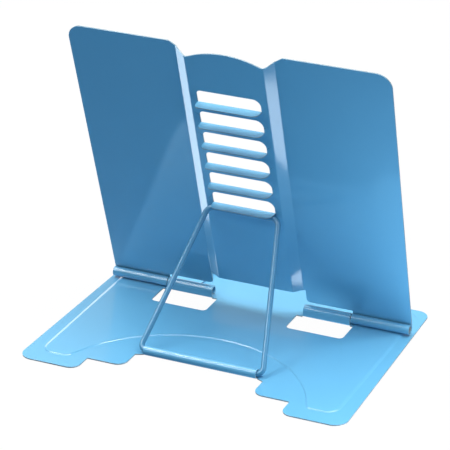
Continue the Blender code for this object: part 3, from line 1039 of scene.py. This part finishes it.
def make_floor():
    """A pale table, which the camera sees white with the stand's faint shadow on it. The light
    that it gives back to the stand is dimmer, and blue from the enamel near it."""
    mesh = bpy.data.meshes.new("table top")
    corners = [(-floor_reach, -floor_reach, 0), (floor_reach, -floor_reach, 0),
               (floor_reach, floor_reach, 0), (-floor_reach, floor_reach, 0)]
    mesh.from_pydata(corners, [], [(0, 1, 2, 3)])
    floor = bpy.data.objects.new("table_top", mesh)
    bpy.context.scene.collection.objects.link(floor)
    material, tree = new_finish("pale table")
    paper = add_node(tree, "ShaderNodeBsdfDiffuse", None, {"Color": linear(paper_tone)})
    rays = add_node(tree, "ShaderNodeLightPath")
    level = add_node(
        tree, "ShaderNodeMapRange", None, {"To Min": table_return},
        {"Value": rays.outputs["Is Camera Ray"]})
    tone = add_node(
        tree, "ShaderNodeMix", {"data_type": "RGBA"},
        {colour_a: linear(table_tone), colour_b: linear(plain_white)},
        {"Factor": rays.outputs["Is Camera Ray"]})
    glow = add_node(
        tree, "ShaderNodeEmission", None, None,
        {"Color": tone.outputs[mixed_colour], "Strength": level.outputs["Result"]})
    mixed = add_node(
        tree, "ShaderNodeMixShader", None, {"Fac": floor_glow},
        {shader_a: paper.outputs["BSDF"], shader_b: glow.outputs["Emission"]})
    add_node(tree, "ShaderNodeOutputMaterial", None, None, {"Surface": mixed.outputs["Shader"]})
    mesh.materials.append(material)
    floor.visible_glossy = False
    floor.visible_shadow = False


def make_world():
    """Dim surroundings, lighter upwards, with a pale sweep on the reader's side, which the
    enamel and the steel mirror. The camera sees plain white."""
    world = bpy.data.worlds.new("studio")
    bpy.context.scene.world = world
    world.use_nodes = True
    tree = world.node_tree
    tree.nodes.clear()
    direction = add_node(tree, "ShaderNodeTexCoord")
    axes = add_node(
        tree, "ShaderNodeSeparateXYZ", None, None, {"Vector": direction.outputs["Generated"]})
    behind = add_node(
        tree, "ShaderNodeMapRange", {"interpolation_type": "SMOOTHSTEP"},
        {"From Min": sweep_begins, "From Max": sweep_is_full}, {"Value": axes.outputs["Y"]})
    height = add_node(
        tree, "ShaderNodeMapRange", None, {"From Min": straight_down},
        {"Value": axes.outputs["Z"]})
    tones = add_node(tree, "ShaderNodeValToRGB", None, None, {"Fac": height.outputs["Result"]})
    stops = tones.color_ramp.elements
    for place, colour in room_tones:
        stops.new(place).color = linear(colour)
    for own_end in (0, -1):
        stops.remove(stops[own_end])
    front = add_node(
        tree, "ShaderNodeBackground", None, {"Strength": room_level},
        {"Color": tones.outputs["Color"]})
    sweep = add_node(
        tree, "ShaderNodeBackground", None,
        {"Color": linear(plain_white), "Strength": sweep_level})
    room = add_node(
        tree, "ShaderNodeMixShader", None, None,
        {"Fac": behind.outputs["Result"], shader_a: front.outputs["Background"],
         shader_b: sweep.outputs["Background"]})
    white = add_node(
        tree, "ShaderNodeBackground", None,
        {"Color": linear(plain_white), "Strength": white_level})
    rays = add_node(tree, "ShaderNodeLightPath")
    seen = add_node(
        tree, "ShaderNodeMixShader", None, None,
        {"Fac": rays.outputs["Is Camera Ray"], shader_a: room.outputs["Shader"],
         shader_b: white.outputs["Background"]})
    add_node(tree, "ShaderNodeOutputWorld", None, None, {"Surface": seen.outputs["Shader"]})


def faced(thing, place, target):
    """Put a light or the camera in its place, pointing at its target."""
    thing.location = place
    thing.rotation_euler = (Vector(target) - Vector(place)).to_track_quat("-Z", "Y").to_euler()
    bpy.context.scene.collection.objects.link(thing)


def make_softboxes():
    """Even rectangles of light, which the camera doesn't see."""
    for name, place, target, width, height, brightness, tone in softboxes:
        light = bpy.data.lights.new(name, "AREA")
        light.shape = "RECTANGLE"
        light.size = width
        light.size_y = height
        light.energy = brightness * pi * width * height
        light.color = linear(tone)[:3]
        lamp = bpy.data.objects.new(name, light)
        lamp.visible_camera = False
        faced(lamp, place, target)


def make_camera():
    """A long lens behind the stand and a little above it, and colours shown as they are."""
    lens = bpy.data.cameras.new("picture")
    lens.sensor_width = sensor_width
    lens.lens = lens_length
    camera = bpy.data.objects.new("picture", lens)
    faced(camera, camera_place, camera_target)
    bpy.context.scene.camera = camera
    bpy.context.scene.view_settings.view_transform = "Standard"


make_camera()
make_floor()
make_world()
make_softboxes()

# Sky-blue stoving enamel on the sheets: a clean, even blue with a soft sheen
enamel = stoved_enamel("stoved sky-blue enamel", "#67B2DA", "#6DB7DD", enamel_roughness)
# A darker copy of the sky-blue enamel for the wire: painted shade, which stands in for the dimmer
# light that falls on the wire
wire_enamel_with_painted_shade = stoved_enamel(
    "sky-blue enamel darkened on wire as painted shade", "#4B95BE", "#509AC2", enamel_roughness)
# The enamel draws back from a sheared edge, and the steel shows through: a dull, greyer line
thin_enamel = stoved_enamel(
    "enamel thinned on a sheared edge", "#7D9CAB", "#8AA3AE", thin_enamel_roughness)
# Zinc plating on the pins: a bright, slightly milky grey
zinc = drawn_metal("zinc-plated drawn steel", "#C9CCCE", zinc_roughness)
# Bare spring wire: a darker and duller grey than the pins
spring_metal = drawn_metal("bare drawn spring steel", "#A9ACB0", spring_roughness)
sheet_finish = [enamel, thin_enamel]

make_base_plate(sheet_finish)
make_back_plate(sheet_finish)
wire_tree = make_wire_tree()
make_prop(wire_tree, wire_enamel_with_painted_shade)
for side, side_name in ((-1, "left"), (1, "right")):
    clip_body = side_name + "_clip"
    make_page_clip(side_name + "_flap", side * clip_centre, clip_body,
                   side_name + "_page_clip", sheet_finish)
    make_pin(side_name + "_hinge_rod", hinge_pin_shape(side), zinc, side_name + "_hinge_pin")
    make_pin(side_name + "_clip_rivet", clip_pin_shape(side), zinc, side_name + "_clip_pin")
    wire_piece(side_name + "_coil", wire_tree, spring_points(side * clip_centre), spring_wire,
               spring_sides, spring_metal, clip_body, side_name + "_clip_spring")
